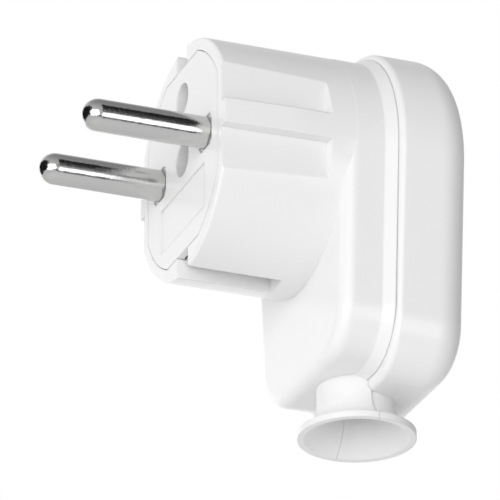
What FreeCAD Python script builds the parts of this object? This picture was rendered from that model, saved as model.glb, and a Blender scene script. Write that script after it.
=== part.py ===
"""Rewirable angled mains plug with two round pins, side earth contacts and an earth socket.

Frame: X to the right when facing the pins, Y from the pins into the body, Z up, cord exit down.
The origin is the middle of the contact face, half way between the pins.  Sizes in millimetres.
"""
import FreeCAD, Part
import math
import os
import Sketcher

# Driving sizes: name, value, what it is.
SIZES = (
    ("nose_radius", "18.4", "round nose that enters the socket"),
    ("nose_draft", "0.1", "nose radius lost towards the rim, so that it leaves its mould"),
    ("nose_length", "18.5", "contact face to the shoulder"),
    ("nose_wall", "2.1", "shell round the pin carrier"),
    ("rim_round", "0.45", "rounding of the nose rim"),
    ("side_flat_depth", "1.8", "side flat below the nose radius"),
    ("side_flat_draft", "0.5", "side flat deeper at the rim"),
    ("side_flat_run", "16.2", "length of the side flats"),
    ("side_flat_rise", "0.4", "slope of the step at the end of a side flat"),
    ("side_wall", "2.1", "shell behind a side flat"),
    ("guide_rib", "4.0", "width of the guide rib left between the side flats"),
    ("rib_draft", "0.75", "guide rib lower at the rim"),
    ("notch_run", "14.6", "length of the earth notches"),
    ("end_wall", "3.4", "top or bottom of the nose down to the earth strap"),
    ("parting_depth", "27.1", "contact face to the joint of the two shells"),
    ("cover_depth", "11.1", "joint of the two shells to the back"),
    ("corner_radius", "7.8", "lower corners of the body"),
    ("corner_across", "8.3", "lower corner centre from the middle"),
    ("corner_drop", "25.1", "lower corner centre below the pins"),
    ("shell_wall", "2.2", "wall of the two shells"),
    ("shoulder_round", "2.1", "rounding of the shoulder"),
    ("back_round", "5.0", "rounding of the back"),
    ("lip_proud", "1.7", "rear cover standing out past the front housing"),
    ("cover_drop", "1.2", "lower corners of the rear cover below those of the front housing"),
    ("cover_trim", "0.5", "lower corners of the rear cover tighter than those of its lip"),
    ("lip_round", "1.0", "rounding of that lip"),
    ("lip_skirt", "0.6", "lip reaching forwards over the front housing"),
    ("flare_proud", "0.9", "rear edge of the front housing flared out towards the lip"),
    ("flare_run", "1.9", "length of that flare"),
    ("tongue_wall", "0.9", "locating tongue of the rear cover"),
    ("tongue_length", "1.8", "reach of the tongue"),
    ("neck_radius", "5.9", "cord neck"),
    ("neck_length", "2.9", "straight part of the neck"),
    ("neck_step", "0.3", "rear half of the neck smaller than the front half"),
    ("bell_radius", "8.7", "mouth of the cord bell"),
    ("bell_length", "3.9", "flared part of the bell"),
    ("bell_rim", "1.0", "straight rim of the bell"),
    ("bell_wall", "0.7", "wall at the mouth of the bell"),
    ("cord_radius", "4.2", "cord passage"),
    ("pin_radius", "2.4", "contact pin"),
    ("pin_step", "0.1", "root of a pin larger than its contact length"),
    ("pin_recess", "1.0", "square recess round a pin in the contact face"),
    ("recess_bevel", "0.8", "bevelled corners of that recess"),
    ("pin_spacing", "19.0", "centre to centre of the pins"),
    ("pin_reach", "19.0", "pin in front of the contact face"),
    ("pin_seat", "6.0", "carrier wall that a pin's collar bears on"),
    ("collar_radius", "3.8", "collar of a pin inside the carrier"),
    ("post_radius", "3.2", "terminal post behind the collar"),
    ("post_length", "5.2", "terminal post behind the carrier"),
    ("wire_radius", "1.4", "wire hole across the terminal post"),
    ("carrier_length", "15.0", "pin carrier"),
    ("panel_depth", "0.25", "shallow bare panel in the contact face"),
    ("panel_width", "18.0", "width of the panel"),
    ("panel_top", "4.5", "upper edge of the panel below the pins"),
    ("panel_height", "7.0", "height of the panel"),
    ("web_thickness", "2.2", "cross wall behind the carrier"),
    ("notch_width", "4.4", "earth notch in the nose"),
    ("strap_width", "4.0", "earth strap"),
    ("strap_thickness", "0.8", "sheet of the earth strap"),
    ("strap_start", "1.2", "contact face to the ends of the strap"),
    ("bend_radius", "1.3", "outside of the strap's two bends"),
    ("lobe_radius", "3.7", "round lobes of the strap"),
    ("earth_rise", "10.0", "earth socket above the pins"),
    ("earth_radius", "2.5", "earth socket"),
    ("sleeve_wall", "0.7", "spring sleeve of the earth socket"),
    ("sleeve_start", "2.5", "contact face to the sleeve"),
    ("sleeve_slit", "0.7", "slits of the sleeve"),
    ("earth_drop", "8.0", "earth terminal below the pins"),
    ("nut_side", "6.0", "square nut of the earth terminal"),
    ("nut_thickness", "2.4", "square nut of the earth terminal"),
    ("washer_radius", "3.6", "wire washer of the earth terminal"),
    ("washer_thickness", "0.8", "wire washer of the earth terminal"),
    ("terminal_shank", "1.75", "terminal screw"),
    ("terminal_head", "2.8", "head of a terminal screw"),
    ("terminal_head_height", "2.0", "head of a terminal screw"),
    ("closing_shank", "1.5", "closing screw"),
    ("closing_head", "2.4", "head of the closing screw"),
    ("closing_head_height", "2.0", "head of the closing screw"),
    ("closing_seat", "6.2", "contact face to the seat of the closing screw"),
    ("boss_radius", "3.9", "boss of the rear cover"),
    ("insert_radius", "2.5", "threaded insert in the boss"),
    ("insert_length", "9.0", "threaded insert in the boss"),
    ("clamp_drop", "26.0", "cord clamp below the pins"),
    ("clamp_spacing", "16.4", "between the cord clamp's screws"),
    ("clamp_post", "3.1", "posts under the cord clamp"),
    ("clamp_seat", "1.8", "top of those posts behind the joint of the shells"),
    ("clamp_thickness", "2.4", "cord clamp"),
    ("clamp_width", "6.0", "cord clamp along the cord"),
    ("clamp_grip", "0.1", "cord clamp's arch smaller than the cord passage"),
    ("clamp_shank", "1.45", "cord clamp screw"),
    ("clamp_screw", "7.5", "thread of a cord clamp screw below the clamp"),
    ("saddle_width", "10.8", "saddle rib opposite the clamp"),
    ("slot_width", "0.9", "driver slots"),
    ("slip", "0.1", "clearance of a sliding fit"),
    ("seat_gap", "0.05", "gap of a seated face"),
)

doc = FreeCAD.newDocument("angled_plug")
sheet = doc.addObject("Spreadsheet::Sheet", "dims")
for row, (alias, value, note) in enumerate(SIZES, start=1):
    sheet.set("A%d" % row, alias)
    sheet.set("B%d" % row, value)
    sheet.set("C%d" % row, note)
    sheet.setAlias("B%d" % row, alias)
doc.recompute()

# Sizes that follow from others.
SIDE_FLAT = "(dims.nose_radius - dims.side_flat_depth)"
SIDE_FLAT_FRONT = "(dims.nose_radius - dims.side_flat_depth - dims.side_flat_draft)"
RIB_FRONT = "(dims.nose_radius - dims.rib_draft)"
RIB_REAR = "(dims.nose_radius + 2 * dims.slip)"
CARRIER_RADIUS = "(dims.nose_radius - dims.nose_wall)"
CARRIER_SIDE = "(dims.nose_radius - dims.side_flat_depth - dims.side_wall)"
CARRIER_TOP = "(dims.nose_radius - dims.end_wall)"
BEYOND_NOSE = "(dims.nose_radius + 1)"
WEB_REAR = "(dims.carrier_length + dims.web_thickness)"
PIN_OFFSET = "(dims.pin_spacing / 2)"
STRAP_FRONT = "(dims.carrier_length + dims.seat_gap)"
STRAP_REAR = "(dims.carrier_length + dims.seat_gap + dims.strap_thickness)"
STRAP_LOW = "(%s + dims.seat_gap)" % CARRIER_TOP
STRAP_HIGH = "(%s + dims.seat_gap + dims.strap_thickness)" % CARRIER_TOP
BACK = "(dims.parting_depth + dims.cover_depth)"
LIP_FRONT = "(dims.parting_depth - dims.lip_skirt)"
PIN_ROOT = "(dims.pin_radius + dims.pin_step)"
POST_END = "(dims.carrier_length + dims.post_length)"
BOSS_FRONT = "(%s + 3 * dims.seat_gap)" % STRAP_REAR
CLAMP_SEAT = "(dims.parting_depth + dims.clamp_seat)"
CLAMP_OFFSET = "(dims.clamp_spacing / 2)"
CLAMP_REAR = "(%s + dims.clamp_thickness)" % CLAMP_SEAT
BODY_BOTTOM = "(dims.corner_drop + dims.corner_radius)"
BELL_TOP = "(%s - dims.shell_wall / 4)" % BODY_BOTTOM
FLARE_TOP = "(%s + dims.neck_length)" % BODY_BOTTOM
BELL_END = "(%s + dims.bell_length + dims.bell_rim)" % FLARE_TOP
FRONT_INSIDE = "(dims.nose_length + dims.shell_wall)"
BACK_INSIDE = "(%s - dims.shell_wall)" % BACK


def value_of(expression):
    """The number that an expression of the sheet's sizes has now."""
    return float(sheet.evalExpression(expression.replace("dims.", "")))


def new_body(label):
    body = doc.addObject("PartDesign::Body", label)
    body.Label = label
    return body


def place(body, x="0", y="0", z="0", turn=None):
    """Puts a body, modelled about its own axis, where it belongs in the plug."""
    if turn:
        body.Placement = FreeCAD.Placement(FreeCAD.Vector(), turn)
    for axis, expression in zip("xyz", (x, y, z)):
        body.setExpression("Placement.Base." + axis, expression)


def new_sketch(body, name, role, lift="0", slide="0"):
    """A sketch on an origin plane, lifted along its normal and slid along its first axis."""
    plane = [feature for feature in body.Origin.OriginFeatures if feature.Role == role][0]
    sketch = body.newObject("Sketcher::SketchObject", name)
    sketch.AttachmentSupport = (plane, [""])
    sketch.MapMode = "FlatFace"
    sketch.setExpression("AttachmentOffset.Base.z", lift)
    sketch.setExpression("AttachmentOffset.Base.x", slide)
    return sketch


def cross_sketch(body, name, depth="0"):
    """A sketch across the plug, in X and Z, at a depth behind the contact face."""
    return new_sketch(body, name, "XZ_Plane", "-(%s)" % depth)


def bind(sketch, kind, places, expression):
    """A dimension that follows the sheet."""
    index = sketch.addConstraint(Sketcher.Constraint(kind, *places, value_of(expression)))
    sketch.setExpression("Constraints[%d]" % index, expression)


def pin_point(sketch, geometry, point, x, y):
    """Holds a sketch point at two expressions; a zero is kept on the axis."""
    if x == "0":
        sketch.addConstraint(Sketcher.Constraint("PointOnObject", geometry, point, -2))
    else:
        bind(sketch, "DistanceX", (-1, 1, geometry, point), x)
    if y == "0":
        sketch.addConstraint(Sketcher.Constraint("PointOnObject", geometry, point, -1))
    else:
        bind(sketch, "DistanceY", (-1, 1, geometry, point), y)


def circle(sketch, x, y, radius):
    centre = FreeCAD.Vector(value_of(x), value_of(y), 0)
    shape = Part.Circle(centre, FreeCAD.Vector(0, 0, 1), value_of(radius))
    geometry = sketch.addGeometry(shape, False)
    pin_point(sketch, geometry, 3, x, y)
    bind(sketch, "Radius", (geometry,), radius)


def arc_between(centre, radius, start, end):
    """A counter-clockwise arc, with which of its ends is the start point."""
    angles = [math.atan2(point.y - centre.y, point.x - centre.x) for point in (start, end)]
    forward = (angles[1] - angles[0]) % (2 * math.pi) < math.pi
    if not forward:
        angles.reverse()
    round_edge = Part.Circle(centre, FreeCAD.Vector(0, 0, 1), radius)
    return Part.ArcOfCircle(round_edge, angles[0], angles[1]), (1, 2) if forward else (2, 1)


def polygon(sketch, points, arc=None):
    """A closed outline through bound points; arc names a segment and the one it is tangent to."""
    spots = [FreeCAD.Vector(value_of(x), value_of(y), 0) for x, y in points]
    count = len(spots)
    ends = []
    for index, spot in enumerate(spots):
        following = spots[(index + 1) % count]
        if arc and index == arc[0]:
            after = arc[1] == (index + 1) % count
            shared, other = (following, spot) if after else (spot, following)
            line = spots[(arc[1] + 1) % count] - spots[arc[1]]
            normal = FreeCAD.Vector(-line.y, line.x, 0).normalize()
            chord = other - shared
            reach = chord.dot(chord) / (2 * chord.dot(normal))
            shape, order = arc_between(shared + normal * reach, abs(reach), spot, following)
        else:
            shape, order = Part.LineSegment(spot, following), (1, 2)
        ends.append((sketch.addGeometry(shape, False),) + order)
    for index, (x, y) in enumerate(points):
        geometry, start, end = ends[index]
        before, _, finish = ends[index - 1]
        joint = {geometry, before}
        if arc and joint == {ends[arc[0]][0], ends[arc[1]][0]}:
            sketch.addConstraint(Sketcher.Constraint("Tangent", before, finish, geometry, start))
        else:
            sketch.addConstraint(Sketcher.Constraint("Coincident", before, finish, geometry, start))
        straight = geometry if not arc or index != arc[0] else before
        pin_point(sketch, straight, 1 if straight == geometry else 2, x, y)


def rectangle(sketch, left, right, low, high):
    polygon(sketch, [(left, low), (right, low), (right, high), (left, high)])


def bevelled_square(sketch, x, half, bevel):
    """A square about a point of the first axis, with its corners cut off."""
    short = "(%s - %s)" % (half, bevel)
    corners = ((half, short), (short, half), ("-" + short, half), ("-" + half, short),
               ("-" + half, "-" + short), ("-" + short, "-" + half), (short, "-" + half), (half, "-" + short))
    polygon(sketch, [("%s + %s" % (x, across), rise) for across, rise in corners])


def body_outline(sketch, offset, lower="0", tighter="0"):
    """Round top and two lower corners joined by tangent sides, offset outwards."""
    corner_radius = "dims.corner_radius + (%s) - %s" % (offset, tighter)
    corner_drop = "(dims.corner_drop + %s)" % lower
    top = value_of("dims.nose_radius + (%s)" % offset)
    corner = value_of(corner_radius)
    across, drop = value_of("dims.corner_across"), value_of(corner_drop)
    distance = math.hypot(across, drop)
    lean = math.atan2(-drop, across) + math.acos((top - corner) / distance)
    out = FreeCAD.Vector(math.cos(lean), math.sin(lean), 0)
    mirror = FreeCAD.Vector(-out.x, out.y, 0)
    right, left = FreeCAD.Vector(across, -drop, 0), FreeCAD.Vector(-across, -drop, 0)
    down = FreeCAD.Vector(0, -corner, 0)
    up = FreeCAD.Vector(0, 0, 1)
    crown = Part.ArcOfCircle(Part.Circle(FreeCAD.Vector(), up, top), lean, math.pi - lean)
    left_side = Part.LineSegment(mirror * top, left + mirror * corner)
    left_corner = Part.ArcOfCircle(Part.Circle(left, up, corner), math.pi - lean, 1.5 * math.pi)
    bottom = Part.LineSegment(left + down, right + down)
    right_corner = Part.ArcOfCircle(Part.Circle(right, up, corner), -0.5 * math.pi, lean)
    right_side = Part.LineSegment(right + out * corner, out * top)
    edges = (crown, left_side, left_corner, bottom, right_corner, right_side)
    ids = [sketch.addGeometry(edge, False) for edge in edges]
    for index, geometry in enumerate(ids):
        following = ids[(index + 1) % len(ids)]
        sketch.addConstraint(Sketcher.Constraint("Tangent", geometry, 2, following, 1))
    sketch.addConstraint(Sketcher.Constraint("Coincident", ids[0], 3, -1, 1))
    bind(sketch, "Radius", (ids[0],), "dims.nose_radius + (%s)" % offset)
    pin_point(sketch, ids[2], 3, "-dims.corner_across", "-" + corner_drop)
    pin_point(sketch, ids[4], 3, "dims.corner_across", "-" + corner_drop)
    for corner_id in (ids[2], ids[4]):
        bind(sketch, "Radius", (corner_id,), corner_radius)


def flatted_circle(sketch, radius, side, top):
    """A circle cut by two upright and two level flats."""
    length, half, rise = value_of(radius), value_of(side), value_of(top)
    tall = math.sqrt(length ** 2 - half ** 2)
    wide = math.sqrt(length ** 2 - rise ** 2)
    corners = [(half, -tall), (half, tall), (wide, rise), (-wide, rise),
               (-half, tall), (-half, -tall), (-wide, -rise), (wide, -rise)]
    spots = [FreeCAD.Vector(x, y, 0) for x, y in corners]
    ids = []
    for index, spot in enumerate(spots):
        following = spots[(index + 1) % len(spots)]
        if index % 2:
            edge = arc_between(FreeCAD.Vector(), length, spot, following)[0]
        else:
            edge = Part.LineSegment(spot, following)
        ids.append(sketch.addGeometry(edge, False))
    for index, geometry in enumerate(ids):
        following = ids[(index + 1) % len(ids)]
        sketch.addConstraint(Sketcher.Constraint("Coincident", geometry, 2, following, 1))
    for index in (1, 3, 5, 7):
        sketch.addConstraint(Sketcher.Constraint("Coincident", ids[index], 3, -1, 1))
    for index in (3, 5, 7):
        sketch.addConstraint(Sketcher.Constraint("Equal", ids[1], ids[index]))
    bind(sketch, "Radius", (ids[1],), radius)
    for index in (0, 4):
        sketch.addConstraint(Sketcher.Constraint("Vertical", ids[index]))
    for index in (2, 6):
        sketch.addConstraint(Sketcher.Constraint("Horizontal", ids[index]))
    bind(sketch, "DistanceX", (-1, 1, ids[0], 1), side)
    bind(sketch, "DistanceX", (-1, 1, ids[4], 1), "-(%s)" % side)
    bind(sketch, "DistanceY", (-1, 1, ids[2], 1), top)
    bind(sketch, "DistanceY", (-1, 1, ids[6], 1), "-(%s)" % top)


def settle(body, feature, grows):
    """Recomputes and makes sure that a feature really added or removed material."""
    before = body.Tip.BaseFeature.Shape.Volume if body.Tip.BaseFeature else 0.0
    doc.recompute()
    change = feature.Shape.Volume - before
    if (change < 1e-6) if grows else (change > -1e-6):
        raise RuntimeError("%s changed %s by %.6f" % (feature.Label, body.Label, change))
    return feature


def pad(body, sketch, length, backwards=True, symmetric=False, taper=None):
    """Adds material along Y: backwards, into the body, or forwards, and widens it by a taper."""
    feature = body.newObject("PartDesign::Pad", sketch.Label + "_pad")
    feature.Profile = sketch
    feature.setExpression("Length", length)
    feature.Reversed = backwards
    if symmetric:
        feature.SideType = "Symmetric"
    if taper:
        feature.setExpression("TaperAngle", taper)
    return settle(body, feature, True)


def pocket(body, sketch, length, backwards=True):
    """Takes material away along Y: backwards, into the body, or forwards."""
    feature = body.newObject("PartDesign::Pocket", sketch.Label + "_cut")
    feature.Profile = sketch
    feature.setExpression("Length", length)
    feature.Reversed = not backwards
    return settle(body, feature, False)


def revolve(body, sketch, kind="Revolution", angle=360.0):
    """Turns a profile about the sketch's upright axis."""
    feature = body.newObject("PartDesign::" + kind, sketch.Label + "_turn")
    feature.Profile = sketch
    feature.ReferenceAxis = (sketch, ["V_Axis"])
    feature.Angle = angle
    feature.Midplane = angle < 360.0
    return settle(body, feature, kind == "Revolution")


def rounded(body, base, names, radius):
    feature = body.newObject("PartDesign::Fillet", base.Label + "_round")
    feature.Base = (base, names)
    feature.setExpression("Radius", radius)
    doc.recompute()
    return feature


def face_at_depth(feature, depth):
    """Names of the flat faces that lie across the plug at a depth."""
    names = []
    for index, face in enumerate(feature.Shape.Faces, start=1):
        box = face.BoundBox
        if box.YLength < 1e-6 and abs(box.YMin - depth) < 1e-6:
            names.append("Face%d" % index)
    return names


def cord_bore(body):
    """The cord passage with its flared mouth, turned about the cord's axis."""
    sketch = new_sketch(body, body.Label + "_cord_bore", "YZ_Plane", "0", "dims.parting_depth")
    mouth = "(dims.bell_radius - dims.bell_wall)"
    low = "-(%s + 0.2)" % BELL_END
    top = "-(dims.clamp_drop - dims.clamp_width)"
    points = [("0", top), ("0", low), (mouth, low),
              ("dims.cord_radius", "-" + BODY_BOTTOM), ("dims.cord_radius", top)]
    polygon(sketch, points, arc=(2, 3))
    revolve(body, sketch, "Groove")


def half_bell(body, side, step="0"):
    """Half of the cord neck and its flared bell, on one side of the joint."""
    sketch = new_sketch(body, body.Label + "_bell", "YZ_Plane", "0", "dims.parting_depth")
    neck, mouth = "%s(dims.neck_radius - %s)" % (side, step), side + "dims.bell_radius"
    rim = "-(%s + dims.bell_length)" % FLARE_TOP
    points = [("0", "-" + BELL_TOP), ("0", "-" + BELL_END), (mouth, "-" + BELL_END), (mouth, rim),
              (neck, "-" + FLARE_TOP), (neck, "-" + BELL_TOP)]
    polygon(sketch, points, arc=(3, 4))
    revolve(body, sketch, "Revolution", 180.0)


def build_front_housing():
    """Front shell: shoulder, round nose with flats and notches, cross wall and half the bell."""
    body = new_body("front_housing")
    sketch = cross_sketch(body, "shoulder", "dims.nose_length")
    body_outline(sketch, "0")
    shoulder = pad(body, sketch, "dims.parting_depth - dims.nose_length")
    front = face_at_depth(shoulder, value_of("dims.nose_length"))
    rounded(body, shoulder, front, "dims.shoulder_round")

    sketch = cross_sketch(body, "flare", "%s - dims.slip - dims.flare_run" % LIP_FRONT)
    body_outline(sketch, "-dims.slip")
    pad(body, sketch, "dims.flare_run", taper="atan((dims.flare_proud + dims.slip) / dims.flare_run)")

    sketch = cross_sketch(body, "nose")
    circle(sketch, "0", "0", "dims.nose_radius - dims.nose_draft")
    nose_reach = "(dims.nose_length + dims.shoulder_round)"
    nose = pad(body, sketch, nose_reach, taper="atan((dims.nose_draft - dims.seat_gap) / %s)" % nose_reach)
    rounded(body, nose, face_at_depth(nose, 0.0), "dims.rim_round")

    end = "(dims.side_flat_run + dims.side_flat_rise)"
    for name, lift, upwards in (("upper_flats", "dims.guide_rib / 2", True),
                                ("lower_flats", "-dims.guide_rib / 2", False)):
        sketch = new_sketch(body, name, "XY_Plane", lift)
        for side in ("", "-"):
            polygon(sketch, [(side + SIDE_FLAT_FRONT, "-1"), (side + BEYOND_NOSE, "-1"),
                             (side + BEYOND_NOSE, end), (side + SIDE_FLAT, "dims.side_flat_run")])
        pocket(body, sketch, "dims.nose_radius / 2", backwards=not upwards)

    sketch = new_sketch(body, "rib_crests", "XY_Plane", "-dims.guide_rib")
    for side in ("", "-"):
        polygon(sketch, [(side + RIB_FRONT, "-1"), (side + BEYOND_NOSE, "-1"),
                         (side + BEYOND_NOSE, "dims.side_flat_run"), (side + RIB_REAR, "dims.side_flat_run")])
    pocket(body, sketch, "2 * dims.guide_rib", backwards=False)

    sketch = cross_sketch(body, "carrier_pocket")
    flatted_circle(sketch, CARRIER_RADIUS + " + dims.slip", CARRIER_SIDE + " + dims.slip",
                   CARRIER_TOP + " + dims.slip")
    pocket(body, sketch, "dims.carrier_length")

    sketch = cross_sketch(body, "strap_slot")
    half = "dims.notch_width / 2"
    high = "(%s + dims.slip)" % STRAP_HIGH
    rectangle(sketch, "-" + half, half, "-" + high, high)
    pocket(body, sketch, WEB_REAR)

    sketch = cross_sketch(body, "notches")
    rectangle(sketch, "-" + half, half, CARRIER_TOP, BEYOND_NOSE)
    rectangle(sketch, "-" + half, half, "-" + BEYOND_NOSE, "-" + CARRIER_TOP)
    pocket(body, sketch, "dims.notch_run")

    sketch = cross_sketch(body, "lobe_slot")
    half = "(dims.lobe_radius + 3 * dims.slip)"
    rectangle(sketch, "-" + half, half, "-(dims.earth_drop + %s)" % half,
              "(dims.earth_rise + %s)" % half)
    pocket(body, sketch, WEB_REAR)

    sketch = cross_sketch(body, "post_holes")
    for side in ("", "-"):
        circle(sketch, side + PIN_OFFSET, "0", "dims.post_radius + dims.slip")
    pocket(body, sketch, WEB_REAR)

    sketch = cross_sketch(body, "nose_bore", "dims.parting_depth")
    circle(sketch, "0", "0", "dims.nose_radius - dims.shell_wall")
    pocket(body, sketch, "dims.parting_depth - " + WEB_REAR, backwards=False)

    sketch = cross_sketch(body, "cavity", "dims.parting_depth")
    body_outline(sketch, "-dims.shell_wall")
    pocket(body, sketch, "dims.parting_depth - " + FRONT_INSIDE, backwards=False)

    sketch = cross_sketch(body, "rebate", "dims.parting_depth")
    body_outline(sketch, "dims.tongue_wall + dims.slip - dims.shell_wall")
    pocket(body, sketch, "dims.tongue_length + 2 * dims.slip", backwards=False)

    half_bell(body, "-")

    sketch = cross_sketch(body, "clamp_posts", "dims.nose_length + dims.shell_wall / 2")
    for side in ("", "-"):
        circle(sketch, side + CLAMP_OFFSET, "-dims.clamp_drop", "dims.clamp_post")
    pad(body, sketch, CLAMP_SEAT + " - dims.nose_length - dims.shell_wall / 2")

    sketch = cross_sketch(body, "cord_saddle", "dims.nose_length + dims.shell_wall / 2")
    low = "-(dims.clamp_drop + dims.clamp_width / 4)"
    high = "-(dims.clamp_drop - dims.clamp_width / 4)"
    half = "dims.saddle_width / 2"
    rectangle(sketch, "-" + half, half, low, high)
    pad(body, sketch, "dims.parting_depth - dims.cord_radius / 2 - dims.nose_length - dims.shell_wall / 2")

    cord_bore(body)

    sketch = cross_sketch(body, "clamp_screw_holes", CLAMP_SEAT)
    for side in ("", "-"):
        circle(sketch, side + CLAMP_OFFSET, "-dims.clamp_drop", "dims.clamp_shank + dims.seat_gap")
    pocket(body, sketch, "dims.clamp_screw + 2 * dims.slip", backwards=False)
    return body


def build_rear_cover():
    """Rear shell with its proud lip, locating tongue, screw boss and half the bell."""
    body = new_body("rear_cover")
    sketch = cross_sketch(body, "cover", LIP_FRONT)
    body_outline(sketch, "dims.lip_proud", "dims.cover_drop", "dims.cover_trim")
    block = pad(body, sketch, "%s - %s" % (BACK, LIP_FRONT))
    block = rounded(body, block, face_at_depth(block, value_of(BACK)), "dims.back_round")
    rounded(body, block, face_at_depth(block, value_of(LIP_FRONT)), "dims.lip_round")

    sketch = cross_sketch(body, "skirt", LIP_FRONT)
    body_outline(sketch, "dims.slip")
    pocket(body, sketch, "dims.lip_skirt")

    sketch = cross_sketch(body, "neck_gap", LIP_FRONT)
    half = "(dims.neck_radius + dims.slip)"
    rectangle(sketch, "-" + half, half, "-(%s + dims.cover_drop + 2 * dims.lip_proud)" % BODY_BOTTOM,
              "-(%s - dims.shell_wall)" % BODY_BOTTOM)
    pocket(body, sketch, "dims.lip_skirt")

    sketch = cross_sketch(body, "cavity", "dims.parting_depth")
    body_outline(sketch, "-dims.shell_wall")
    pocket(body, sketch, BACK_INSIDE + " - dims.parting_depth")

    sketch = cross_sketch(body, "tongue", "dims.parting_depth")
    body_outline(sketch, "dims.tongue_wall - dims.shell_wall")
    body_outline(sketch, "-dims.shell_wall")
    pad(body, sketch, "dims.tongue_length", backwards=False)

    half_bell(body, "", "dims.neck_step")

    sketch = cross_sketch(body, "boss", BOSS_FRONT)
    circle(sketch, "0", "0", "dims.boss_radius")
    pad(body, sketch, "%s - dims.shell_wall / 2 - %s" % (BACK, BOSS_FRONT))

    cord_bore(body)

    sketch = cross_sketch(body, "insert_bore", BOSS_FRONT)
    circle(sketch, "0", "0", "dims.insert_radius")
    pocket(body, sketch, "dims.insert_length")

    sketch = cross_sketch(body, "screw_relief", BOSS_FRONT)
    circle(sketch, "0", "0", "dims.closing_shank + dims.slip")
    pocket(body, sketch, "1.4 * dims.insert_length")
    return body


def build_pin_carrier():
    """Moulded insert whose front is the contact face; it holds the pins and the earth parts."""
    body = new_body("pin_carrier")
    sketch = cross_sketch(body, "block")
    flatted_circle(sketch, CARRIER_RADIUS, CARRIER_SIDE, CARRIER_TOP)
    pad(body, sketch, "dims.carrier_length")

    sketch = cross_sketch(body, "panel")
    rectangle(sketch, "-dims.panel_width / 2", "dims.panel_width / 2",
              "-(dims.panel_top + dims.panel_height)", "-dims.panel_top")
    pocket(body, sketch, "dims.panel_depth")

    sketch = cross_sketch(body, "pin_recesses")
    for side in ("", "-"):
        bevelled_square(sketch, side + PIN_OFFSET, "(%s + 2 * dims.slip)" % PIN_ROOT, "dims.recess_bevel")
    pocket(body, sketch, "dims.pin_recess")

    sketch = cross_sketch(body, "pin_holes", "dims.pin_recess")
    for side in ("", "-"):
        circle(sketch, side + PIN_OFFSET, "0", PIN_ROOT + " + dims.seat_gap")
    pocket(body, sketch, "dims.carrier_length")

    sketch = cross_sketch(body, "middle_holes")
    circle(sketch, "0", "dims.earth_rise", "dims.earth_radius")
    circle(sketch, "0", "0", "dims.closing_shank + dims.slip")
    pocket(body, sketch, "dims.carrier_length")

    sketch = cross_sketch(body, "closing_recess")
    circle(sketch, "0", "0", "dims.closing_head + 2 * dims.slip")
    pocket(body, sketch, "dims.closing_seat")

    sketch = cross_sketch(body, "collar_pockets", "dims.carrier_length")
    for side in ("", "-"):
        circle(sketch, side + PIN_OFFSET, "0", "dims.collar_radius + dims.slip")
    pocket(body, sketch, "dims.carrier_length - dims.pin_seat", backwards=False)

    sketch = cross_sketch(body, "sleeve_pocket", "dims.carrier_length")
    circle(sketch, "0", "dims.earth_rise", "dims.earth_radius + dims.sleeve_wall + dims.seat_gap")
    pocket(body, sketch, "dims.carrier_length - dims.sleeve_start", backwards=False)

    sketch = cross_sketch(body, "nut_pocket", "dims.carrier_length")
    half = "(dims.nut_side / 2 + dims.slip)"
    rectangle(sketch, "-" + half, half, "-(dims.earth_drop + %s)" % half, "-(dims.earth_drop - %s)" % half)
    pocket(body, sketch, "dims.nut_thickness + dims.seat_gap", backwards=False)

    sketch = cross_sketch(body, "screw_end", "dims.carrier_length")
    circle(sketch, "0", "-dims.earth_drop", "dims.terminal_shank + 2 * dims.slip")
    pocket(body, sketch, "2.5 * dims.nut_thickness", backwards=False)
    return body


def build_pin(label, side):
    """A turned pin: round tip, collar inside the carrier and a drilled terminal post."""
    body = new_body(label)
    place(body, x=side + PIN_OFFSET)
    sketch = new_sketch(body, "profile", "XY_Plane")
    shoulder = "(dims.carrier_length - dims.seat_gap)"
    points = [("0", "-dims.pin_reach"), ("dims.pin_radius", "-(dims.pin_reach - dims.pin_radius)"),
              ("dims.pin_radius", "0"), (PIN_ROOT, "dims.pin_recess"),
              (PIN_ROOT, "dims.pin_seat"),
              ("dims.collar_radius", "dims.pin_seat"),
              ("dims.collar_radius", shoulder), ("dims.post_radius", shoulder),
              ("dims.post_radius", POST_END), ("0", POST_END)]
    polygon(sketch, points, arc=(0, 1))
    revolve(body, sketch)

    sketch = cross_sketch(body, "screw_hole", POST_END)
    circle(sketch, "0", "0", "dims.terminal_shank + dims.seat_gap")
    pocket(body, sketch, "dims.post_length / 2", backwards=False)

    sketch = new_sketch(body, "wire_hole", "XY_Plane")
    circle(sketch, "0", "dims.carrier_length + dims.post_length / 2", "dims.wire_radius")
    feature = body.newObject("PartDesign::Pocket", "wire_hole_cut")
    feature.Profile = sketch
    feature.setExpression("Length", "3 * dims.post_radius")
    feature.SideType = "Symmetric"
    settle(body, feature, False)
    return body


def build_screw(label, shank, length, head, height, cross=False):
    """A screw along Y with its head behind the origin; the head has a slot or a cross."""
    body = new_body(label)
    sketch = new_sketch(body, "profile", "XY_Plane")
    tip = "%s / 4" % shank
    points = [("0", "-(%s)" % length), ("%s - %s" % (shank, tip), "-(%s)" % length),
              (shank, "-(%s - %s)" % (length, tip)), (shank, "0"), (head, "0"),
              (head, height), ("0", height)]
    polygon(sketch, points)
    revolve(body, sketch)
    half, reach = "dims.slot_width / 2", "1.2 * " + head
    if cross:
        reach = "0.65 * " + head
    sketch = cross_sketch(body, "slot", height)
    rectangle(sketch, "-" + half, half, "-" + reach, reach)
    pocket(body, sketch, "0.5 * " + height, backwards=False)
    if cross:
        sketch = cross_sketch(body, "cross_slot", height)
        rectangle(sketch, "-" + reach, reach, "-" + half, half)
        pocket(body, sketch, "0.5 * " + height, backwards=False)
    return body


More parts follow.
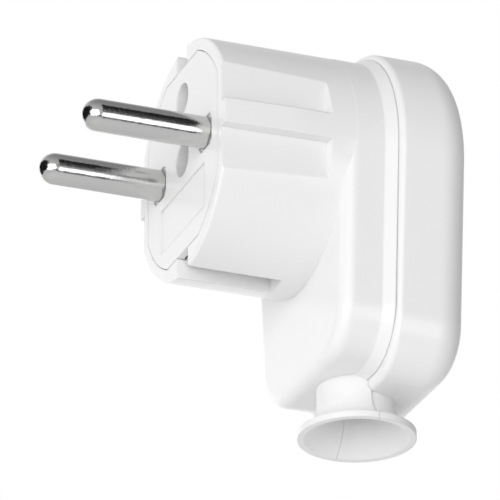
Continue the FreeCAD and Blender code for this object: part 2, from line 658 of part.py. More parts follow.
def build_earth_strap():
    """Folded sheet: two contact arms in the notches joined by a bridge behind the carrier."""
    body = new_body("earth_strap")
    sketch = new_sketch(body, "fold", "YZ_Plane")
    start = "dims.strap_start"
    points = [(start, STRAP_HIGH), (STRAP_REAR, STRAP_HIGH), (STRAP_REAR, "-" + STRAP_HIGH),
              (start, "-" + STRAP_HIGH), (start, "-" + STRAP_LOW), (STRAP_FRONT, "-" + STRAP_LOW),
              (STRAP_FRONT, STRAP_LOW), (start, STRAP_LOW)]
    polygon(sketch, points)
    fold = pad(body, sketch, "dims.strap_width", backwards=False, symmetric=True)
    outer = []
    for index, edge in enumerate(fold.Shape.Edges, start=1):
        box = edge.BoundBox
        if box.XLength > 1.0 and abs(box.YMin - value_of(STRAP_REAR)) < 1e-6:
            outer.append("Edge%d" % index)
    rounded(body, fold, outer, "dims.bend_radius")

    sketch = cross_sketch(body, "lobes", STRAP_FRONT)
    circle(sketch, "0", "0", "dims.lobe_radius")
    circle(sketch, "0", "dims.earth_rise", "dims.lobe_radius")
    circle(sketch, "0", "-dims.earth_drop", "dims.lobe_radius")
    pad(body, sketch, "dims.strap_thickness")

    sketch = cross_sketch(body, "screw_holes", STRAP_FRONT)
    circle(sketch, "0", "0", "dims.closing_shank + 2 * dims.slip")
    circle(sketch, "0", "-dims.earth_drop", "dims.terminal_shank + dims.seat_gap")
    pocket(body, sketch, "dims.strap_thickness")
    return body


def build_earth_sleeve():
    """Slit spring sleeve that takes the earth pin of a socket."""
    body = new_body("earth_sleeve")
    place(body, z="dims.earth_rise")
    sketch = cross_sketch(body, "tube", "dims.sleeve_start")
    circle(sketch, "0", "0", "dims.earth_radius + dims.sleeve_wall")
    circle(sketch, "0", "0", "dims.earth_radius")
    pad(body, sketch, "dims.carrier_length - dims.sleeve_start")
    sketch = cross_sketch(body, "slits", "dims.sleeve_start")
    half, reach = "dims.sleeve_slit / 2", "(dims.earth_radius + 2 * dims.sleeve_wall)"
    rectangle(sketch, "-" + half, half, "-" + reach, reach)
    pocket(body, sketch, "(dims.carrier_length - dims.sleeve_start) * 0.6")
    return body


def build_ring(label, depth, radius, hole, thickness, z="0"):
    """A plain ring across the plug: a washer or a threaded insert."""
    body = new_body(label)
    place(body, y=depth, z=z)
    sketch = cross_sketch(body, "ring")
    circle(sketch, "0", "0", radius)
    circle(sketch, "0", "0", hole)
    pad(body, sketch, thickness)
    return body


def build_earth_nut():
    """Square nut held from turning by its pocket in the carrier."""
    body = new_body("earth_nut")
    place(body, y="dims.carrier_length - dims.nut_thickness", z="-dims.earth_drop")
    sketch = cross_sketch(body, "square")
    half = "dims.nut_side / 2"
    rectangle(sketch, "-" + half, half, "-" + half, half)
    circle(sketch, "0", "0", "dims.terminal_shank + dims.seat_gap")
    pad(body, sketch, "dims.nut_thickness")
    return body


def build_cord_clamp():
    """Arched bar that two screws pull down on the cord."""
    body = new_body("cord_clamp")
    place(body, z="-(dims.clamp_drop + dims.clamp_width / 2)")
    half = "(%s + dims.clamp_post)" % CLAMP_OFFSET
    sketch = new_sketch(body, "bar", "XY_Plane")
    rectangle(sketch, "-" + half, half, CLAMP_SEAT, CLAMP_REAR)
    pad(body, sketch, "dims.clamp_width", backwards=False)
    grip = "(dims.cord_radius - dims.clamp_grip)"
    sketch = new_sketch(body, "arch", "XY_Plane")
    circle(sketch, "0", "dims.parting_depth", grip + " + dims.clamp_thickness")
    pad(body, sketch, "dims.clamp_width", backwards=False)
    sketch = new_sketch(body, "under_side", "XY_Plane")
    beyond = "(dims.parting_depth - 2 * (%s + dims.clamp_thickness))" % grip
    rectangle(sketch, "-" + half, half, beyond, CLAMP_SEAT)
    pocket(body, sketch, "dims.clamp_width", backwards=False)
    sketch = new_sketch(body, "cord_seat", "XY_Plane")
    circle(sketch, "0", "dims.parting_depth", grip)
    pocket(body, sketch, "dims.clamp_width", backwards=False)
    sketch = cross_sketch(body, "screw_holes", CLAMP_SEAT)
    for side in ("", "-"):
        circle(sketch, side + CLAMP_OFFSET, "dims.clamp_width / 2", "dims.clamp_shank + dims.slip")
    pocket(body, sketch, "dims.clamp_thickness")
    return body


about_face = FreeCAD.Rotation(FreeCAD.Vector(0, 0, 1), 180)
bodies = [build_front_housing(), build_rear_cover(), build_pin_carrier()]
for name, sign in (("live_pin", "-"), ("neutral_pin", "")):
    bodies.append(build_pin(name, sign))
for name, sign in (("live_terminal_screw", "-"), ("neutral_terminal_screw", "")):
    screw = build_screw(name, "dims.terminal_shank", "dims.post_length / 2", "dims.terminal_head",
                        "dims.terminal_head_height")
    place(screw, x=sign + PIN_OFFSET, y=POST_END)
    bodies.append(screw)

bodies += [build_earth_strap(), build_earth_sleeve(), build_earth_nut()]
bodies.append(build_ring("earth_washer", STRAP_REAR, "dims.washer_radius",
                         "dims.terminal_shank + dims.seat_gap", "dims.washer_thickness",
                         "-dims.earth_drop"))
earth_screw = build_screw("earth_terminal_screw", "dims.terminal_shank",
                          "dims.washer_thickness + dims.strap_thickness + 2 * dims.nut_thickness",
                          "dims.terminal_head", "dims.terminal_head_height")
place(earth_screw, y=STRAP_REAR + " + dims.washer_thickness", z="-dims.earth_drop")
bodies.append(earth_screw)

closing_length = "(%s + dims.insert_length - dims.closing_seat)" % BOSS_FRONT
closing_screw = build_screw("closing_screw", "dims.closing_shank", closing_length,
                            "dims.closing_head", "dims.closing_head_height", cross=True)
place(closing_screw, y="dims.closing_seat", turn=about_face)
bodies.append(closing_screw)
bodies.append(build_ring("closing_insert", BOSS_FRONT, "dims.insert_radius",
                         "dims.closing_shank + dims.seat_gap", "dims.insert_length"))

bodies.append(build_cord_clamp())
for name, sign in (("clamp_screw_left", "-"), ("clamp_screw_right", "")):
    screw = build_screw(name, "dims.clamp_shank", "dims.clamp_thickness + dims.clamp_screw",
                        "dims.terminal_head", "dims.terminal_head_height")
    place(screw, x=sign + CLAMP_OFFSET, y=CLAMP_REAR, z="-dims.clamp_drop")
    bodies.append(screw)

doc.recompute()
for item in doc.Objects:
    if "Invalid" in item.State or "Error" in item.State:
        raise RuntimeError("%s did not recompute: %s" % (item.Label, item.State))
for body in bodies:
    if body.Shape.isNull() or not body.Shape.isValid() or len(body.Shape.Solids) != 1:
        raise RuntimeError("%s is not one sound solid" % body.Label)

os.makedirs("parts", exist_ok=True)
for body in bodies:
    body.Shape.exportStep("parts/%s.step" % body.Label)
    print("%-24s %10.2f mm3" % (body.Label, body.Shape.Volume))
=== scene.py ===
# %% [markdown]
# # An angled mains plug
# This lesson dresses a rewirable plug: a white two-part shell with a round nose, two plated pins, an earth
# strap in the nose's notches and a flared cord bell. The construction comes ready made as a fixed frame of
# separate nodes. Here each visible node gets its final surface, a finish that is worked out by nodes, and a
# small photo studio around it.

import math

import bpy
from mathutils import Matrix, Vector


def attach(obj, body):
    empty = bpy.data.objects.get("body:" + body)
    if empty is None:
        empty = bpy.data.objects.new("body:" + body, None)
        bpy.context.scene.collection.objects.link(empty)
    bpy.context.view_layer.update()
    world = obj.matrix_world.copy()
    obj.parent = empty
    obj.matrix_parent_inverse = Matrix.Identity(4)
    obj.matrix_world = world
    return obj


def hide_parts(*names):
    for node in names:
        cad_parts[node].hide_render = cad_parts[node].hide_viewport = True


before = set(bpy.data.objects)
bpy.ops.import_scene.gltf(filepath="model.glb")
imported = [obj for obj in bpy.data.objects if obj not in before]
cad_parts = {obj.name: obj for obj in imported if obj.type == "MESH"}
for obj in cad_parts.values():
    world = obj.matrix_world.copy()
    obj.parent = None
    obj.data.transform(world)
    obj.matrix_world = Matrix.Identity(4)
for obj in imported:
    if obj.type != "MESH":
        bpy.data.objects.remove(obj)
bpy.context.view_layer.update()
MM = 0.001
print("nodes:", ", ".join(sorted(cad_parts)))

# %% [markdown]
# ## Ways of working
# Every operator acts on what is selected, and the loaded nodes start out selected. So the first helper
# clears the selection and makes one object active. The second one dresses an object: it gives the finish
# and ties the object to the plug's one body.

# %% Helpers for every piece


def pick(piece):
    """Makes one object the only selected and active one."""
    bpy.ops.object.select_all(action="DESELECT")
    piece.select_set(True)
    bpy.context.view_layer.objects.active = piece


def dress(piece, material):
    """Gives a piece its finish and its place on the plug."""
    piece.data.materials.clear()
    piece.data.materials.append(material)
    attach(piece, "root")
    print(piece.name, len(piece.data.polygons), "faces")


# %% [markdown]
# ## Softened edges
# The construction has knife-sharp edges, which no mould and no lathe can give: every real edge is rounded
# by a tenth of a millimetre or more, and it is this small rounding that catches the light. A node of the
# frame comes as loose triangles, so its copy is merged first and shaded smooth with weighted normals, which
# keep the large faces flat in their shading. The small metal parts also get a bevel modifier, which rounds
# every edge that is sharper than the facets of the curves. The mouldings have far more faces, so there the
# finish rounds the edges: a bevel node bends the normals beside each edge, which costs no geometry.

# %% Helpers for soft edges
MERGE_DISTANCE = 0.0005 * MM
FLAT_ANGLE = math.radians(0.3)
EDGE_ANGLE = math.radians(35)
SMOOTH_ANGLE = math.radians(22)
EDGE_SEGMENTS = 2
LARGE_FACE_WEIGHT = 80


def shade(piece):
    """Smooth shading with weighted normals, so flat faces stay flat beside a rounding."""
    pick(piece)
    bpy.ops.object.shade_smooth_by_angle(angle=SMOOTH_ANGLE)
    weights = piece.modifiers.new("weights", "WEIGHTED_NORMAL")
    weights.keep_sharp = True
    weights.weight = LARGE_FACE_WEIGHT
    bpy.ops.object.modifier_apply(modifier=weights.name)


def round_edges(piece, radius):
    """Rounds the real edges of a small piece."""
    pick(piece)
    bevel = piece.modifiers.new("edges", "BEVEL")
    bevel.width = radius
    bevel.segments = EDGE_SEGMENTS
    bevel.limit_method = "ANGLE"
    bevel.angle_limit = EDGE_ANGLE
    bevel.use_clamp_overlap = False
    bpy.ops.object.modifier_apply(modifier=bevel.name)


def soft_copy(node, name, radius=0.0):
    """A merged copy of a node, with rounded edges if a radius is given, which then stands for it."""
    piece = bpy.data.objects.new(name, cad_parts[node].data.copy())
    bpy.context.scene.collection.objects.link(piece)
    pick(piece)
    bpy.ops.mesh.customdata_custom_splitnormals_clear()
    bpy.ops.object.mode_set(mode="EDIT")
    bpy.ops.mesh.select_all(action="SELECT")
    bpy.ops.mesh.remove_doubles(threshold=MERGE_DISTANCE)
    if radius:
        bpy.ops.mesh.dissolve_limited(angle_limit=FLAT_ANGLE)
    bpy.ops.object.mode_set(mode="OBJECT")
    if radius:
        round_edges(piece, radius)
    shade(piece)
    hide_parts(node)
    return piece


# %% [markdown]
# ## Finishes
# A real surface is never one flat colour. It could be painted as a picture, but a picture needs an
# unwrapped mesh and has one size. Noise on object coordinates needs neither and keeps its scale on every
# piece. So each finish is made of a few noise nodes: for the colour, for the polish and for the relief.

# %% Building blocks for the finishes
NOISE_LOW, NOISE_HIGH = 0.3, 0.7
BEVEL_SAMPLES = 8


def new_finish(name, metallic, ior):
    """An empty finish: its shader, its node tree and its coordinates."""
    material = bpy.data.materials.new(name)
    material.use_nodes = True
    tree = material.node_tree
    shader = tree.nodes["Principled BSDF"]
    shader.inputs["Metallic"].default_value = metallic
    shader.inputs["IOR"].default_value = ior
    place = tree.nodes.new("ShaderNodeTexCoord")
    return material, tree, shader, place.outputs["Object"]


def noise(tree, place, scale, detail=4.0, stretch=(1, 1, 1)):
    """Noise of about `scale` waves to the metre, times the stretch along each axis."""
    mapping = tree.nodes.new("ShaderNodeMapping")
    mapping.inputs["Scale"].default_value = stretch
    tree.links.new(place, mapping.inputs["Vector"])
    node = tree.nodes.new("ShaderNodeTexNoise")
    node.inputs["Scale"].default_value = scale
    node.inputs["Detail"].default_value = detail
    tree.links.new(mapping.outputs["Vector"], node.inputs["Vector"])
    return node.outputs["Fac"]


def between(tree, factor, low, high):
    """Turns noise into a number between two values."""
    node = tree.nodes.new("ShaderNodeMapRange")
    node.inputs["From Min"].default_value = NOISE_LOW
    node.inputs["From Max"].default_value = NOISE_HIGH
    node.inputs["To Min"].default_value = low
    node.inputs["To Max"].default_value = high
    tree.links.new(factor, node.inputs["Value"])
    return node.outputs["Result"]


def tint(tree, factor, low, high):
    """Turns noise into a colour between two near shades."""
    node = tree.nodes.new("ShaderNodeMix")
    node.data_type = "RGBA"
    node.inputs["A"].default_value = (*low, 1)
    node.inputs["B"].default_value = (*high, 1)
    tree.links.new(factor, node.inputs["Factor"])
    return node.outputs["Result"]


def bump(tree, shader, factor, height, strength, edge=0.0):
    """Fine relief of a given height in metres, over edges that look rounded by a radius."""
    node = tree.nodes.new("ShaderNodeBump")
    if edge:
        soft = tree.nodes.new("ShaderNodeBevel")
        soft.samples = BEVEL_SAMPLES
        soft.inputs["Radius"].default_value = edge
        tree.links.new(soft.outputs["Normal"], node.inputs["Normal"])
    node.inputs["Distance"].default_value = height
    node.inputs["Strength"].default_value = strength
    tree.links.new(factor, node.inputs["Height"])
    tree.links.new(node.outputs["Normal"], shader.inputs["Normal"])


# %% [markdown]
# ### White plastic
# The shells are glossy mouldings: the white has faint clouds from the melt, the polish of the mould varies a
# little, and the surface has a very fine waviness. The carrier is a little duller, and the hidden cord clamp
# is plain. They differ only in shade and polish, so one function makes all three whites.

# %% White moulded plastic
EDGE_ROUND = 0.35 * MM


def moulded_plastic(name, low, high, polish):
    """A white thermoplastic: faint clouds, a polish between two values, and mould texture."""
    material, tree, shader, place = new_finish(name, metallic=0.0, ior=1.49)
    clouds = noise(tree, place, scale=25, detail=1)
    tree.links.new(tint(tree, clouds, low, high), shader.inputs["Base Color"])
    wear = noise(tree, place, scale=60, detail=1)
    tree.links.new(between(tree, wear, *polish), shader.inputs["Roughness"])
    grain = noise(tree, place, scale=300, detail=1)
    bump(tree, shader, grain, height=0.0006 * MM, strength=0.3, edge=EDGE_ROUND)
    return material


shell_white = moulded_plastic("shell_white", (0.824, 0.824, 0.823), (0.836, 0.836, 0.834),
                              polish=(0.285, 0.315))
carrier_white = moulded_plastic("carrier_white", (0.826, 0.826, 0.825), (0.838, 0.838, 0.836),
                                polish=(0.345, 0.360))
clamp_white = moulded_plastic("clamp_white", (0.66, 0.66, 0.65), (0.70, 0.70, 0.69),
                              polish=(0.45, 0.55))
print("plastics:", shell_white.name, carrier_white.name, clamp_white.name)

# %% [markdown]
# ### Metals
# The pins and the earth parts are nickel plated, the screws are zinc plated, and the insert is bare brass.
# Turning, drawing and polishing leave marks, which run along or across a part or are an even grain. Noise
# that is stretched to suit drives both the polish and the relief, so the two belong together.

# %% Plated and bare metals
ACROSS_Y = (0.3, 6, 0.3)
ALONG_Y = (4, 0.25, 4)
EVEN = (1, 1, 1)
GRAINY = (4, 5, 4)


def plated_metal(name, low, high, polish, marks, height):
    """A metal whose polish and relief follow fine marks, stretched along the part."""
    material, tree, shader, place = new_finish(name, metallic=1.0, ior=1.5)
    clouds = noise(tree, place, scale=250)
    tree.links.new(tint(tree, clouds, low, high), shader.inputs["Base Color"])
    lines = noise(tree, place, scale=900, detail=5, stretch=marks)
    tree.links.new(between(tree, lines, *polish), shader.inputs["Roughness"])
    bump(tree, shader, lines, height=height, strength=0.6)
    return material


pin_nickel = plated_metal("pin_nickel", (0.57, 0.57, 0.565), (0.62, 0.62, 0.615),
                          polish=(0.08, 0.16), marks=GRAINY, height=0.034 * MM)
earth_nickel = plated_metal("earth_nickel", (0.80, 0.80, 0.79), (0.86, 0.86, 0.85),
                            polish=(0.18, 0.3), marks=ALONG_Y, height=0.001 * MM)
screw_zinc = plated_metal("screw_zinc", (0.52, 0.53, 0.54), (0.60, 0.61, 0.62),
                          polish=(0.28, 0.42), marks=EVEN, height=0.002 * MM)
insert_brass = plated_metal("insert_brass", (0.72, 0.52, 0.22), (0.80, 0.60, 0.28),
                            polish=(0.25, 0.4), marks=ACROSS_Y, height=0.002 * MM)
print("metals:", pin_nickel.name, earth_nickel.name, screw_zinc.name, insert_brass.name)

# %% [markdown]
# ## Shells and carrier
# The shells, the carrier and the cord clamp are mouldings whose forms are already exact in the frame. They
# could be modelled again by hand, but a merged copy keeps every fit, and the finish rounds its edges.

# %% The mouldings
front_shell = soft_copy("front_housing", "front_shell")
dress(front_shell, shell_white)
dress(soft_copy("rear_cover", "rear_shell"), shell_white)
carrier = soft_copy("pin_carrier", "carrier")
dress(carrier, carrier_white)
dress(soft_copy("cord_clamp", "clamp_bar"), clamp_white)

# %% [markdown]
# ## Closed joint
# The construction leaves a clear gap between parts, so that they go together. On the finished plug the screw
# pulls the shells together until the joint is a hair line. So the rear edge of the front shell is selected by
# its depth and moved back until it nearly touches the lip of the cover. That is simpler than a new edge.

# %% Close the joint
JOINT_LEVEL, JOINT_CLOSED = 26.4, 26.48
LEVEL_TOLERANCE = 0.01


def at_level(place, level):
    """True for a point at a depth in millimetres."""
    return abs(place.y - level * MM) < LEVEL_TOLERANCE * MM


def select_points(piece, belongs):
    """Leaves edit mode on with the points of a piece selected that belong to a region."""
    pick(piece)
    bpy.ops.object.mode_set(mode="EDIT")
    bpy.ops.mesh.select_all(action="DESELECT")
    bpy.ops.object.mode_set(mode="OBJECT")
    points = [point for point in piece.data.vertices if belongs(point.co)]
    for point in points:
        point.select = True
    bpy.ops.object.mode_set(mode="EDIT")
    print(piece.name, len(points), "points selected")


select_points(front_shell, lambda place: at_level(place, JOINT_LEVEL))
bpy.ops.transform.translate(value=(0, (JOINT_CLOSED - JOINT_LEVEL) * MM, 0))
bpy.ops.object.mode_set(mode="OBJECT")

# %% [markdown]
# ## Shallow recesses
# Round each pin, only the corners of a square recess show. They are shallow on the real moulding and hold
# little shadow. So each recess is drawn in towards its pin, and its floor moves forward. The hole in that
# floor then widens again by a hair, so that it clears the pin. The points are picked by their place, as one
# would pick them with a box in the viewport.

# %% Draw in the recesses
PIN_SIDE = 9.5
RECESS_FLOOR, RECESS_RAISED, RECESS_REACH, RECESS_SHARE = 1.0, 0.3, 3.6, 0.93
RIM_REACH, RIM_SHARE = 2.6, 0.949 / RECESS_SHARE


def in_recess(place, side):
    """True for a point of the recess round the pin at one side."""
    beside = max(abs(place.x - side * MM), abs(place.z)) < RECESS_REACH * MM
    return beside and (at_level(place, 0) or at_level(place, RECESS_FLOOR))


def on_rim(place, side):
    """True for a point of the rim of the hole in the raised floor of a recess."""
    beside = math.hypot(place.x - side * MM, place.z) < RIM_REACH * MM
    return beside and at_level(place, RECESS_RAISED)


def scale_round_pin(share, side):
    """Scales the selected points about the middle line of a pin, and leaves edit mode."""
    bpy.ops.transform.resize(value=(share, 1, share), center_override=(side * MM, 0, 0))
    bpy.ops.object.mode_set(mode="OBJECT")


for side in (-PIN_SIDE, PIN_SIDE):
    select_points(carrier, lambda place: in_recess(place, side))
    scale_round_pin(RECESS_SHARE, side)
    select_points(carrier, lambda place: in_recess(place, side) and at_level(place, RECESS_FLOOR))
    bpy.ops.transform.translate(value=(0, (RECESS_RAISED - RECESS_FLOOR) * MM, 0))
    bpy.ops.object.mode_set(mode="OBJECT")
    select_points(carrier, lambda place: on_rim(place, side))
    scale_round_pin(RIM_SHARE, side)

# %% [markdown]
# ## Contact pins
# A pin is turned from brass bar and plated: a round tip, a long straight shank, a collar that stops it in the
# carrier, and a post with the terminal behind. On a lathe the tool follows a profile, and here a ring does
# the same: it starts as a tiny circle at the tip, and is then extruded and scaled step by step along the
# pin. A spun profile would give the same form, but rings are easier to change.

# %% A turned pin
PIN_SIDES = 96
PIN_REACH, PIN_RADIUS = 19.0, 2.4
TIP_STEPS, TIP_START = 14, 0.05
# Radius and depth of each ring behind the tip, in millimetres.
COLLAR = [(2.4, 5.9), (2.5, 6.0), (3.7, 6.0), (3.8, 6.1)]
POST = [(3.8, 14.85), (3.7, 14.95), (3.2, 14.95), (3.2, 20.0), (3.0, 20.2)]
PINS = {"live_pin": ("live_contact", -PIN_SIDE), "neutral_pin": ("neutral_contact", PIN_SIDE)}


def tip_ring(step):
    """Radius and depth of one ring of the round tip."""
    angle = math.pi / 2 * step / TIP_STEPS
    return PIN_RADIUS * math.sin(angle), -PIN_REACH + PIN_RADIUS * (1 - math.cos(angle))


def turned_pin(name, side):
    """Extrudes and scales a ring along the profile of a pin whose middle line is at one side."""
    tip = [(TIP_START, -PIN_REACH)] + [tip_ring(step) for step in range(1, TIP_STEPS + 1)]
    radius, depth = tip[0]
    bpy.ops.object.select_all(action="DESELECT")
    bpy.ops.mesh.primitive_circle_add(vertices=PIN_SIDES, radius=radius * MM, fill_type="NGON",
                                      location=(side * MM, depth * MM, 0), rotation=(math.pi / 2, 0, 0))
    piece = bpy.context.active_object
    piece.name = name
    bpy.ops.object.transform_apply(location=True, rotation=True, scale=True)
    bpy.ops.object.mode_set(mode="EDIT")
    bpy.ops.mesh.select_all(action="SELECT")
    for wider, deeper in tip[1:] + COLLAR + POST:
        bpy.ops.mesh.extrude_region_move(
            TRANSFORM_OT_translate={"value": (0, (deeper - depth) * MM, 0)})
        factor = wider / radius
        bpy.ops.transform.resize(value=(factor, 1, factor), center_override=(side * MM, deeper * MM, 0))
        radius, depth = wider, deeper
    bpy.ops.mesh.select_all(action="SELECT")
    bpy.ops.mesh.normals_make_consistent(inside=False)
    bpy.ops.object.mode_set(mode="OBJECT")
    return piece


pins = {node: turned_pin(name, side) for node, (name, side) in PINS.items()}
print("pins:", [len(pin.data.polygons) for pin in pins.values()], "faces")

# %% [markdown]
# ## Terminal holes
# The post of a pin is drilled twice: across it for the wire, and along it for the screw that clamps the
# wire. A drill is a cylinder, and a boolean modifier takes it away, which keeps the hole round where it
# leaves the round post.

# %% Drill the posts
DRILL_SIDES = 32
WIRE_HOLE, WIRE_DRILL, POST_MIDDLE = 1.4, 10.0, 17.6
SCREW_HOLE, SCREW_DRILL, POST_BACK = 1.8, 5.2, 20.2
UP, BACK = (0, 0, 0), (math.pi / 2, 0, 0)


def combine(piece, tool, operation):
    """Joins another object to a piece or takes it away, and removes that object."""
    pick(piece)
    step = piece.modifiers.new("tool", "BOOLEAN")
    step.operation = operation
    step.solver = "EXACT"
    step.object = tool
    bpy.ops.object.modifier_apply(modifier=step.name)
    bpy.data.objects.remove(tool)


def drill(piece, radius, length, place, turn):
    """Takes a round hole out of a piece."""
    bpy.ops.object.select_all(action="DESELECT")
    bpy.ops.mesh.primitive_cylinder_add(vertices=DRILL_SIDES, radius=radius * MM, depth=length * MM,
                                        location=[value * MM for value in place], rotation=turn)
    combine(piece, bpy.context.active_object, "DIFFERENCE")


for node, pin in pins.items():
    side = PINS[node][1]
    drill(pin, WIRE_HOLE, WIRE_DRILL, (side, POST_MIDDLE, 0), UP)
    drill(pin, SCREW_HOLE, SCREW_DRILL, (side, POST_BACK, 0), BACK)
    shade(pin)
    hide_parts(node)
    dress(pin, pin_nickel)

# %% [markdown]
# ## Earth clips
# The arms of the earth strap are springs. Each bulges out in its notch towards the surface of the nose, where
# the springs of a socket press on it, and its long sides are rolled over. A cube stands for the bulge: a wide
# bevel rolls its long edges, a small one its ends, and a boolean union joins it to the strap. The strap's
# own edges are rounded only after that, because a boolean works best on plain flat faces.

# %% A strap with rolled arms
CLIP_WIDTH, CLIP_START, CLIP_END = 4.0, 1.2, 14.45
CLIP_FOOT, CLIP_CREST = 14.6, 16.5
CLIP_ROLL, ROLL_SEGMENTS, CLIP_END_ROUND = 1.2, 8, 0.25
NEAR_CREST, LONG_EDGE = 0.1, 1.0
METAL_EDGE = 0.08 * MM


def rolled_bar(sign):
    """The bulge of one arm, above the middle for a sign of 1 and below it for -1."""
    length, height = CLIP_END - CLIP_START, CLIP_CREST - CLIP_FOOT
    middle = (0, CLIP_START + length / 2, sign * (CLIP_FOOT + height / 2))
    bpy.ops.object.select_all(action="DESELECT")
    bpy.ops.mesh.primitive_cube_add(size=1, location=[value * MM for value in middle])
    bar = bpy.context.active_object
    bar.scale = (CLIP_WIDTH * MM, length * MM, height * MM)
    bpy.ops.object.transform_apply(location=True, rotation=True, scale=True)
    bpy.ops.object.mode_set(mode="EDIT")
    bpy.ops.mesh.select_mode(type="EDGE")
    bpy.ops.mesh.select_all(action="DESELECT")
    bpy.ops.object.mode_set(mode="OBJECT")
    for edge in bar.data.edges:
        first, last = [bar.data.vertices[index].co for index in edge.vertices]
        outside = min(sign * first.z, sign * last.z) > (CLIP_CREST - NEAR_CREST) * MM
        edge.select = outside and abs(first.y - last.y) > LONG_EDGE * MM
    bpy.ops.object.mode_set(mode="EDIT")
    bpy.ops.mesh.bevel(offset=CLIP_ROLL * MM, segments=ROLL_SEGMENTS, affect="EDGES")
    bpy.ops.mesh.select_mode(type="VERT")
    bpy.ops.object.mode_set(mode="OBJECT")
    round_edges(bar, CLIP_END_ROUND * MM)
    return bar


earth_clip = soft_copy("earth_strap", "earth_clip")
for sign in (1, -1):
    combine(earth_clip, rolled_bar(sign), "UNION")
bpy.ops.object.mode_set(mode="EDIT")
bpy.ops.mesh.select_all(action="SELECT")
bpy.ops.mesh.dissolve_degenerate(threshold=MERGE_DISTANCE)
bpy.ops.mesh.dissolve_limited(angle_limit=FLAT_ANGLE)
bpy.ops.object.mode_set(mode="OBJECT")
round_edges(earth_clip, METAL_EDGE)
shade(earth_clip)
dress(earth_clip, earth_nickel)

# %% [markdown]
# ## Metal parts
# The earth sleeve, the screws, the nut, the washer and the brass insert keep their forms. They are small and
# mostly hidden, so a merged copy with bevelled edges and a metal finish is all that they need.

# %% Metal copies
metals = {
    "earth_sleeve": ("earth_spring", earth_nickel, "earth_metal"),
    "closing_insert": ("brass_insert", insert_brass, "insert_brass"),
}
for node in ("live_terminal_screw", "neutral_terminal_screw", "earth_nut", "earth_washer",
             "earth_terminal_screw", "closing_screw", "clamp_screw_left", "clamp_screw_right"):
    metals[node] = (node + "_zinc", screw_zinc, "screw_steel")
for node, (name, finish, slot) in metals.items():
    dress(soft_copy(node, name, METAL_EDGE), finish)

# %% [markdown]
# ## Studio
# The plug hangs in front of white paper, seen from the side, a little from the front and from below. Most of
# the light comes from white walls in front of it and beside it and from a light table below, while the room
# above and behind is dimmer, so upper faces go grey and the back edge goes dark. Six numbers describe that
# room: how bright it is towards each side. Each ray takes a mixture of the three that it points to, weighted
# by the square of its direction, so there are no seams. Only the camera itself sees plain white paper.

# %% Surroundings
ROOM = {
    ("X", 1): 0.66,
    ("X", -1): 1.50,
    ("Y", 1): 0.01,
    ("Y", -1): 0.88,
    ("Z", 1): 0.34,
    ("Z", -1): 0.60,
}

world = bpy.data.worlds.new("studio")
bpy.context.scene.world = world
world.use_nodes = True
sky = world.node_tree


def calculate(operation, first, second):
    """One step of arithmetic on the sky, with a socket first and a socket or a number second."""
    node = sky.nodes.new("ShaderNodeMath")
    node.operation = operation
    sky.links.new(first, node.inputs[0])
    if isinstance(second, (int, float)):
        node.inputs[1].default_value = second
    else:
        sky.links.new(second, node.inputs[1])
    return node.outputs["Value"]


towards = sky.nodes.new("ShaderNodeSeparateXYZ")
sky.links.new(sky.nodes.new("ShaderNodeTexCoord").outputs["Generated"], towards.inputs["Vector"])
room = None
for (axis, sign), brightness in ROOM.items():
    lobe = calculate("MULTIPLY", towards.outputs[axis], sign)
    lobe = calculate("POWER", calculate("MAXIMUM", lobe, 0.0), 2.0)
    lobe = calculate("MULTIPLY", lobe, brightness)
    room = lobe if room is None else calculate("ADD", room, lobe)
paper = sky.nodes.new("ShaderNodeMix")
paper.inputs["B"].default_value = 1.0
sky.links.new(sky.nodes.new("ShaderNodeLightPath").outputs["Is Camera Ray"], paper.inputs["Factor"])
sky.links.new(room, paper.inputs["A"])
background = sky.nodes["Background"]
background.inputs["Color"].default_value = (1, 1, 1, 1)
sky.links.new(paper.outputs["Result"], background.inputs["Strength"])
print("room:", ROOM)

# %% [markdown]
# ## Light table and cards
# Small shiny things mirror the whole room, so the room needs dark places too. Black cards stand where the
# pins mirror them and draw dark stripes on the plating, and a white one puts the bright stripe beside them,
# as a photographer would do. The cards only show in reflections, so the soft light on the white shell stays
# as it is. The cards and the light table belong to the stage, not to the plug.

# %% Light table and cards
TABLE_DROP, TABLE_WIDTH = -0.84, 12.0


def stage_finish(name, grey, glow=0.0):
    """A plain matt surface for the stage, which may glow."""
    material = bpy.data.materials.new(name)
    material.use_nodes = True
    shader = material.node_tree.nodes["Principled BSDF"]
    shader.inputs["Base Color"].default_value = (grey, grey, grey, 1)
    shader.inputs["Roughness"].default_value = 0.9
    shader.inputs["Specular IOR Level"].default_value = 0.1
    shader.inputs["Emission Color"].default_value = (1, 1, 1, 1)
    shader.inputs["Emission Strength"].default_value = glow
    return material


def stage_plane(name, width, height, middle, facing, finish):
    """A flat card of the stage that faces a direction."""
    bpy.ops.object.select_all(action="DESELECT")
    bpy.ops.mesh.primitive_plane_add(size=1)
    card = bpy.context.active_object
    card.name = name
    turn = Vector(facing).to_track_quat("Z", "Y").to_matrix().to_4x4()
    card.data.transform(Matrix.Translation(middle) @ turn @ Matrix.Diagonal((width, height, 1, 1)))
    card.data.materials.append(finish)
    return card


table_white = stage_finish("table_white", grey=0.85, glow=0.25)
stage_plane("light_table", TABLE_WIDTH, TABLE_WIDTH, (0, 0, TABLE_DROP), (0, 0, 1), table_white)
black = stage_finish("card_black", grey=0.01)
white = stage_finish("card_white", grey=0.80, glow=2.2)
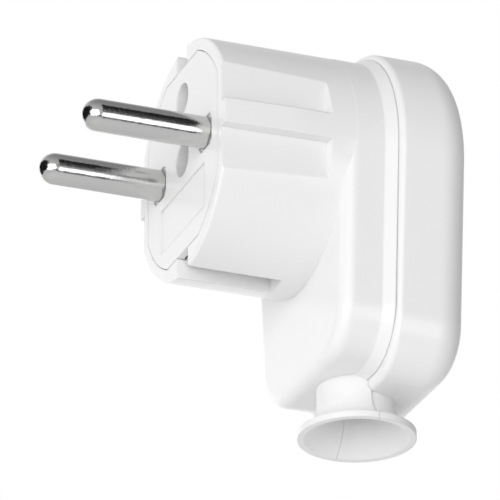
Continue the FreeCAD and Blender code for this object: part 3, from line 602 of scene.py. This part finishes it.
# Direction from the plug, then distance, width and height in metres, then the finish.
cards = {
    "stripe_card": ((0.80, 0.34, 0.43), 0.9, 0.30, 0.88, black),
    "bright_card": ((0.82, 0.34, -0.24), 0.9, 0.24, 0.44, white),
    "line_card": ((0.76, 0.33, -0.55), 0.5, 0.80, 0.09, black),
    "front_card": ((-0.28, -0.92, 0.26), 0.9, 1.50, 1.04, black),
}
for name, (place, distance, width, height, finish) in cards.items():
    place = Vector(place).normalized()
    card = stage_plane(name, width, height, place * distance, -place, finish)
    card.visible_camera = False
    card.visible_diffuse = False
    card.visible_shadow = False
print("cards:", ", ".join(cards))

# %% [markdown]
# ## Key light
# One large soft box beside the camera lifts the front and the near side. A lamp with an area does this
# better than a point, because its mirror image in the rounded edges draws their bright lines, and it shows
# as a small bright patch on the round tips of the pins.

# %% Key light
KEY_PLACE = Vector((0.771, -0.664, -0.098))
KEY_TURN = Vector((0.72, -0.62, -0.30)).to_track_quat("Z", "Y")
KEY_WIDTH, KEY_HEIGHT, KEY_POWER = 1.1, 0.675, 6.07
key = bpy.data.lights.new("key", "AREA")
key.shape = "RECTANGLE"
key.size = KEY_WIDTH
key.size_y = KEY_HEIGHT
key.energy = KEY_POWER
key_lamp = bpy.data.objects.new("key", key)
bpy.context.scene.collection.objects.link(key_lamp)
key_lamp.location = KEY_PLACE
key_lamp.rotation_euler = KEY_TURN.to_euler()
print("key light", round(key.energy, 2), "W at", [round(value, 2) for value in key_lamp.location])

# %% [markdown]
# ## Camera
# The view was worked out from the two pins, whose size and spacing are known. A long lens keeps parallel
# edges nearly parallel, as on a studio photo of a small thing. The camera sits below the plug and looks up a
# little.

# %% Camera
VIEW_AZIMUTH = math.radians(68.14)
VIEW_ELEVATION = math.radians(-25.38)
VIEW_ROLL = math.radians(-0.61)
VIEW_DISTANCE = 0.7
EYE_OVER = Vector((0.0, 15.0, -8.0)) * MM
AIM = Vector((-3.026, 11.789, -11.400)) * MM
LENS, SENSOR, SIGHT = 341.4, 36.0, 20.0

out = Vector((math.sin(VIEW_AZIMUTH) * math.cos(VIEW_ELEVATION),
              -math.cos(VIEW_AZIMUTH) * math.cos(VIEW_ELEVATION), math.sin(VIEW_ELEVATION)))
level = Vector((math.cos(VIEW_AZIMUTH), math.sin(VIEW_AZIMUTH), 0))
rolled_up = out.cross(level) * math.cos(VIEW_ROLL) - level * math.sin(VIEW_ROLL)
eye = EYE_OVER + out * VIEW_DISTANCE
back = (eye - AIM).normalized()
right = rolled_up.cross(back).normalized()
top = back.cross(right)
lens = bpy.data.cameras.new("camera")
lens.lens = LENS
lens.sensor_width = SENSOR
lens.clip_end = SIGHT
camera = bpy.data.objects.new("camera", lens)
bpy.context.scene.collection.objects.link(camera)
camera.matrix_world = Matrix.Translation(eye) @ Matrix((right, top, back)).transposed().to_4x4()
bpy.context.scene.camera = camera
bpy.context.scene.view_settings.view_transform = "Standard"
print("camera at", [round(value, 4) for value in eye])
